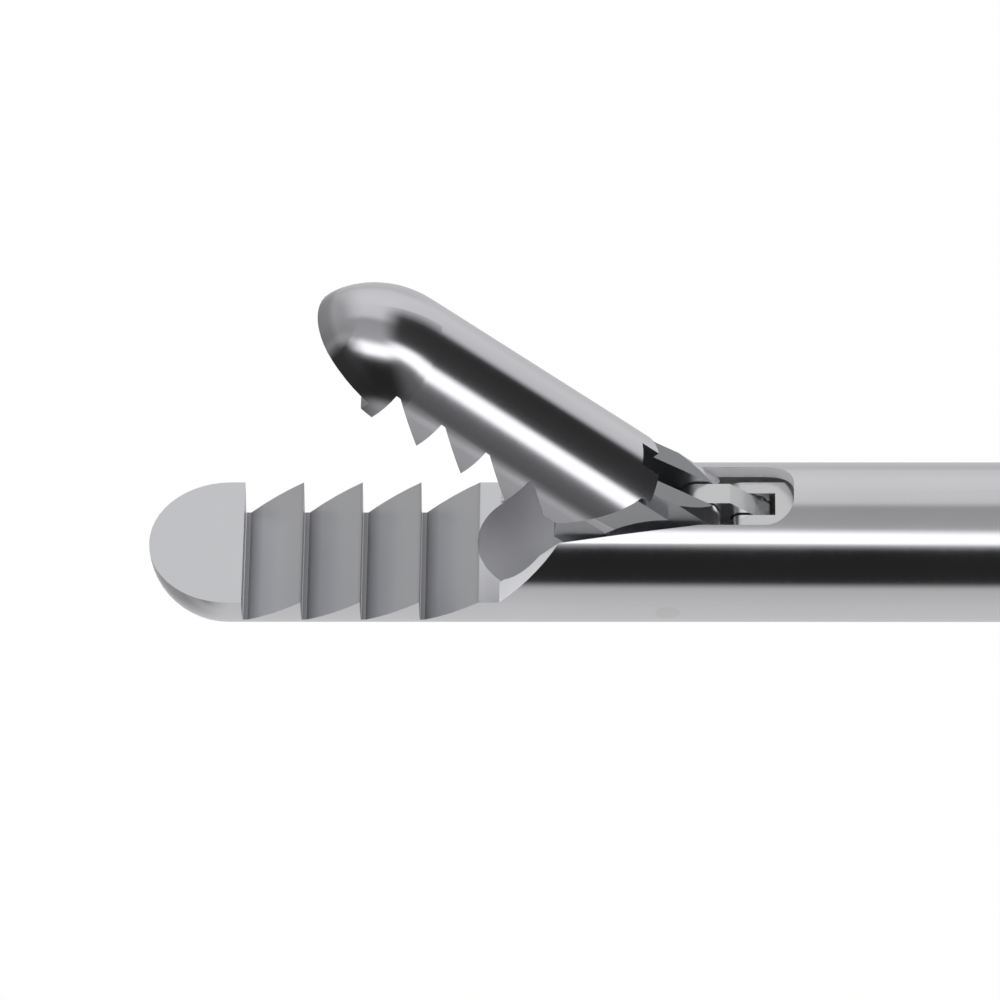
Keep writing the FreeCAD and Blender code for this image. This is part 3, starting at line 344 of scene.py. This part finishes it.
finishes = {
    "tube_steel": steel("tube_steel", (0.86, 0.857, 0.892), 0.10, (0.02, 1, 1), 9000, 0.0, 0.04),
    "jaw_steel": steel("jaw_steel", (0.85, 0.847, 0.88), 0.13, (1, 0.03, 0.4), 9000, 2e-7, 0.05),
    "pin_steel": steel("pin_steel", (0.80, 0.80, 0.81), 0.16, (1, 1, 1), 8000, 1e-7, 0.04),
    "rod_steel": steel("rod_steel", (0.82, 0.825, 0.83), 0.18, (0.05, 1, 1), 9000, 2e-7, 0.05),
    "steel_satin": steel(
        "steel_satin", (0.74, 0.745, 0.755), 0.44, (1, 1, 0.2), 3000, 1e-6, 0.06, metal=0.75),
    "steel_polished": steel("steel_polished", (0.82, 0.825, 0.83), 0.14, (0.2, 1, 1), 4000, 0.0, 0.05),
    "steel_dark": steel("steel_dark", (0.34, 0.34, 0.36), 0.35, (1, 1, 1), 5000, 5e-7, 0.06),
    "bush_bronze": steel("bush_bronze", (0.62, 0.43, 0.22), 0.30, (0.1, 1, 1), 4000, 5e-7, 0.06),
}
print(len(finishes), "metal finishes")

# %% [markdown]
# ## Plastic and rubber
# The finger wheel is moulded in black plastic with a fine spark-eroded grain, the cap over the rinsing port
# is a dark grey of the same kind, the washers and guide bands are a pale slippery plastic and the seals are
# silicone. A principled shader with a coarse noise in its colour and a fine one in its bump covers them all.

# %% The recipe for plastic and rubber
def moulded(name, colour, roughness, grain_scale, lift, soft=0.0):
    """Moulded plastic or rubber: an even colour with slight cloudiness and a grained skin."""
    material, tree = new_material(name)
    shader = tree.add("BsdfPrincipled")
    cloud = stretched_noise(tree, (1, 1, 1), 220, 3.0)
    grain = stretched_noise(tree, (1, 1, 1), grain_scale, 2.0)
    low = tuple(c * 0.86 for c in colour) + (1,)
    high = tuple(min(1.0, c * 1.12) for c in colour) + (1,)
    tree.join(tree.mix(cloud, low, high), shader.inputs["Base Color"])
    tree.join(tree.math("MULTIPLY_ADD", grain, 0.12, roughness - 0.06), shader.inputs["Roughness"])
    bump = tree.add("Bump")
    bump.inputs["Distance"].default_value = lift
    tree.join(grain, bump.inputs["Height"])
    tree.join(bump.outputs[0], shader.inputs["Normal"])
    if soft:
        shader.inputs["Sheen Weight"].default_value = soft
    finish_tree(tree, shader)
    return material


finishes["knob_black"] = moulded("knob_black", (0.022, 0.022, 0.024), 0.42, 2600, 2e-5)
finishes["cap_grey"] = moulded("cap_grey", (0.06, 0.065, 0.075), 0.45, 2600, 2e-5)
finishes["washer_plastic"] = moulded("washer_plastic", (0.78, 0.77, 0.73), 0.38, 1800, 1e-5)
finishes["silicone"] = moulded("silicone", (0.10, 0.115, 0.14), 0.55, 1500, 1e-5, soft=0.1)
print(len(finishes), "finishes in all")

# %% [markdown]
# ## Dressing the parts
# The record names the finish of each part, so the finishes above are handed out by that name.

# %% Give every part its finish
slots = {entry["node"]: entry["material_slot"] for entry in frame["record"]["subparts"]}
for name, node in frame["nodes"].items():
    finish = finishes[slots[name]]
    if node.material_slots:
        for place in node.material_slots:
            place.material = finish
    else:
        node.data.materials.append(finish)
print({slot: list(slots.values()).count(slot) for slot in sorted(set(slots.values()))})

# %% [markdown]
# ## Polished outside, milled inside
# The jaws' round skin is polished with the tube, but teeth, lands, pocket and slot come from a cutter and
# stay satin. So each jaw gets a second material for every face that the lathe didn't make. A turned face
# never looks sideways round its axis, and it looks outward: that is all the test needs, whatever the jaw's
# outline is.

# %% Find the cut faces of the jaws
SIDEWAYS_SHARE = 0.14
LOOKS_OUT = 0.3
fixed_jaw = frame["nodes"]["fixed_jaw"]
moving_jaw = frame["nodes"]["moving_jaw"]
jaw_opening = math.radians(joints["jaw_swing"]["range_deg"][1])
open_way = Vector((-math.cos(jaw_opening), 0, math.sin(jaw_opening)))
open_up = Vector((math.sin(jaw_opening), 0, math.cos(jaw_opening)))


def mill(node, foot, pointing, finish):
    """Gives `finish` to the faces that aren't turned round the line from `foot` along `pointing`."""
    mesh = node.data
    mesh.materials.append(finish)
    cut_index = len(mesh.materials) - 1
    turn = node.matrix_world.to_3x3()
    for face in mesh.polygons:
        normal = (turn @ face.normal).normalized()
        outward = node.matrix_world @ face.center - foot
        outward -= pointing * outward.dot(pointing)
        outward.normalize()
        sideways = abs(normal.dot(pointing.cross(outward)))
        if sideways > SIDEWAYS_SHARE or normal.dot(outward) + normal.dot(pointing) < LOOKS_OUT:
            face.material_index = cut_index
    return sum(face.material_index == cut_index for face in mesh.polygons)


print(f"the jaws stand {math.degrees(jaw_opening):.1f} degrees open")

# %% [markdown]
# The lower jaw's teeth stand in a row, so a painted shade that follows them can be worked out from the place
# along the shaft alone: it is divided by the pitch, and the part after the point says how far up a ramp one
# is. Each valley is painted darker than its crest, for the shade in the hollow. The row starts 0.02 mm behind
# the first upright face, so that no upright face lies where the count jumps.

# %% Mill both jaws
TOOTH_PITCH = 1.85 * MM
TOOTH_COUNT = 4
ROW_START = jaw_pivot.x - 13.28 * MM
# Painted shade along each tooth, from dark in the valley to full brightness up the ramp.
PAINTED_TOOTH_SHADE = [
    (0.0, 0.36), (0.085, 0.40), (0.13, 0.58), (0.30, 0.92), (0.60, 1.0), (0.94, 0.98), (1.0, 0.80),
]


def painted_valley_shade(tree):
    """Painted shade: darkest in the bottom of each valley, where the hollow lies in shade."""
    place = tree.add("SeparateXYZ")
    tree.join(tree.add("TexCoord").outputs["Object"], place.inputs[0])
    teeth = tree.math("DIVIDE", tree.math("SUBTRACT", place.outputs["X"], ROW_START), TOOTH_PITCH)
    past_start = tree.math("GREATER_THAN", teeth, 0.0)
    before_end = tree.math("LESS_THAN", teeth, TOOTH_COUNT)
    stops = [(where, (level, level, level, 1)) for where, level in PAINTED_TOOTH_SHADE]
    shades = tree.ramp(tree.math("FRACT", teeth), stops)
    return tree.mix(tree.math("MULTIPLY", past_start, before_end), (1, 1, 1, 1), shades)


# The lower jaw's milled steel carries the painted shade of its tooth valleys.
milled = steel("jaw_milled_painted_valleys", (0.90, 0.905, 0.935), 0.30, (1, 0.03, 0.4), 9000, 4e-7, 0.06, painted_valley_shade)
# The upper jaw's cut faces get a darker copy of the milled steel: painted shade on teeth that look down.
cut_steel_shaded_above = steel("jaw_cut_painted_shade", (0.50, 0.51, 0.53), 0.34, (1, 0.03, 0.4), 9000, 6e-7, 0.06)
shaft_foot = Vector((jaw_pivot.x, 0, 0))
print(mill(fixed_jaw, shaft_foot, Vector((-1, 0, 0)), milled), "milled faces below")
print(mill(moving_jaw, jaw_pivot - open_up * jaw_pivot.z, open_way, cut_steel_shaded_above), "milled faces above")

# %% [markdown]
# The upper jaw's round back is polished, and a strip along its teeth is painted a duller grey: painted shade
# on the side that looks down. The strip is measured from the pivot, square to the open jaw's teeth.

# %% Paint shade on a strip along the upper teeth
# Painted shade from the pivot's height, darkest there, fading out towards the round back.
PAINTED_STRIP_SHADE = [(0.0, 0.42), (0.3, 0.62), (0.52, 0.72), (0.62, 1.0)]
STRIP_SCALE = 2 * MM


def painted_flank_shade(tree):
    """Painted shade: grey near the teeth, clear on the round back."""
    height = tree.add("VectorMath", operation="DOT_PRODUCT")
    tree.join(tree.add("TexCoord").outputs["Object"], height.inputs[0])
    height.inputs[1].default_value = open_up
    above_pivot = tree.math("SUBTRACT", height.outputs["Value"], jaw_pivot.dot(open_up))
    share = tree.math("DIVIDE", above_pivot, STRIP_SCALE)
    return tree.ramp(share, [(where, (level, level, level * 1.01, 1)) for where, level in PAINTED_STRIP_SHADE])


# The upper jaw's polished steel with the painted shade along its teeth.
strip = steel("jaw_flank_painted_shade", (0.85, 0.847, 0.88), 0.14, (1, 0.03, 0.4), 9000, 2e-7, 0.05, painted_flank_shade)
moving_jaw.material_slots[0].material = strip
print(f"strip up to {1000 * PAINTED_STRIP_SHADE[-1][0] * STRIP_SCALE:.1f} mm above the pivot")

# %% [markdown]
# The pocket behind the teeth is drilled with a ball-ended cutter and left as it is, then blasted. A blasted
# hollow scatters light and looks paler than a mirror would there, so its metal is mixed with a little plain
# grey.

# %% Blast the pocket
POCKET_FRONT = jaw_pivot.x - 5.9 * MM
FACES_UP = 0.97


def blast_pocket(node, finish):
    """Gives `finish` to the cut faces behind the last tooth that don't look straight up."""
    mesh = node.data
    mesh.materials.append(finish)
    milled_index = len(mesh.materials) - 2
    pocket_faces = 0
    for face in mesh.polygons:
        centre = node.matrix_world @ face.center
        if face.material_index == milled_index and centre.x > POCKET_FRONT and face.normal.z < FACES_UP:
            face.material_index = milled_index + 1
            pocket_faces += 1
    return pocket_faces


pocket = steel("jaw_pocket", (0.88, 0.88, 0.91), 0.48, (1, 1, 1), 3000, 2e-6, 0.08, metal=0.25)
print(blast_pocket(fixed_jaw, pocket), "faces in the pocket")

# %% [markdown]
# ## Broken edges
# The handle and the lever are meant to be held, so their edges are rounded. The cap, the bush, the pivot
# screw and the nuts get a smaller bevel. A bevel modifier is the plain way to get that. It is set by angle,
# so the seams inside a round face stay as they are. Before it, a weld joins the corners that the model's
# export had split, and a planar decimation takes away the triangles inside the flats, which would spoil the
# bevel's corners. The jaws go without: on their mirror skin a bevel left dark triangles and streaks.

# %% Break the sharp edges
SHARP = math.radians(32)
FLAT = math.radians(0.5)
JOIN_WITHIN = 0.002 * MM


def break_edges(name, width, steps=2):
    """Rounds every sharp edge of a construction part by `width`."""
    node = frame["nodes"][name]
    kept_normals = node.data.attributes.get("custom_normal")
    if kept_normals:
        node.data.attributes.remove(kept_normals)
    weld = node.modifiers.new("joined corners", "WELD")
    weld.merge_threshold = JOIN_WITHIN
    flats = node.modifiers.new("whole flats", "DECIMATE")
    flats.decimate_type = "DISSOLVE"
    flats.angle_limit = FLAT
    bevel = node.modifiers.new("broken edges", "BEVEL")
    bevel.width = width
    bevel.segments = steps
    bevel.limit_method = "ANGLE"
    bevel.angle_limit = SHARP
    bevel.use_clamp_overlap = False
    bevel.harden_normals = True


EDGE_WIDTHS = {
    "handle_body": 0.8 * MM, "thumb_lever": 0.5 * MM, "flush_cap": 0.2 * MM, "pivot_screw": 0.2 * MM,
    "pivot_nut": 0.2 * MM, "retaining_nut": 0.2 * MM, "ball_lock_nut": 0.1 * MM, "bearing_bush": 0.15 * MM,
}
for part, edge_width in EDGE_WIDTHS.items():
    break_edges(part, edge_width)
print(len(EDGE_WIDTHS), "parts with broken edges")

# %% [markdown]
# ## The thread in front of the lock nut
# Through the window in the handle's back one sees where the rod screws into the ball end. The nut is locked
# against it, and a few turns of rolled thread stay bare in front. The construction model has a plain rod
# there, so the turns are added as one low ridge that winds round it. A ridge made point by point stays
# light and ends exactly where it should, which a screw modifier wouldn't do as simply.

# %% Wind the thread on the rod
THREAD_PITCH = 0.4 * MM
THREAD_HEIGHT = 0.05 * MM
THREAD_SUNK = 0.03 * MM
THREAD_LENGTH = 3.2 * MM
THREAD_FLANK = 0.35 * THREAD_PITCH
STEPS_A_TURN = 24
INTO_NUT = 0.2 * MM


def wind_thread(name, axis_point, radius, length):
    """A ridge round the X direction that starts at `axis_point` and runs `length` towards the front."""
    steps = round(length / THREAD_PITCH * STEPS_A_TURN)
    root = radius - THREAD_SUNK
    points = []
    faces = []
    for step in range(steps + 1):
        turn = 2 * math.pi * step / STEPS_A_TURN
        fade = min(1.0, step / STEPS_A_TURN, (steps - step) / STEPS_A_TURN)
        middle = -step * THREAD_PITCH / STEPS_A_TURN
        crest = root + (THREAD_HEIGHT + THREAD_SUNK) * fade
        for shift, reach in ((-THREAD_FLANK, root), (0.0, crest), (THREAD_FLANK, root)):
            offset = Vector((middle + shift, reach * math.cos(turn), reach * math.sin(turn)))
            points.append(axis_point + offset)
        if step:
            start = 3 * (step - 1)
            faces.append((start, start + 1, start + 4, start + 3))
            faces.append((start + 1, start + 2, start + 5, start + 4))
    mesh = bpy.data.meshes.new(name)
    mesh.from_pydata(points, [], faces)
    mesh.materials.append(finishes["rod_steel"])
    thread = bpy.data.objects.new(name, mesh)
    bpy.context.scene.collection.objects.link(thread)
    return thread


nut_low, nut_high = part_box("ball_lock_nut")
rod_low, rod_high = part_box("drive_rod")
rod_radius = (rod_high.y - rod_low.y) / 2
rod_middle = (rod_low + rod_high) / 2
thread_start = Vector((nut_low.x + INTO_NUT, rod_middle.y, rod_middle.z))
rod_thread = wind_thread("rod_thread", thread_start, rod_radius, THREAD_LENGTH)
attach(rod_thread, "rod")
print(f"nut from x = {1000 * nut_low.x:.1f} mm, {len(rod_thread.data.polygons)} faces of thread")
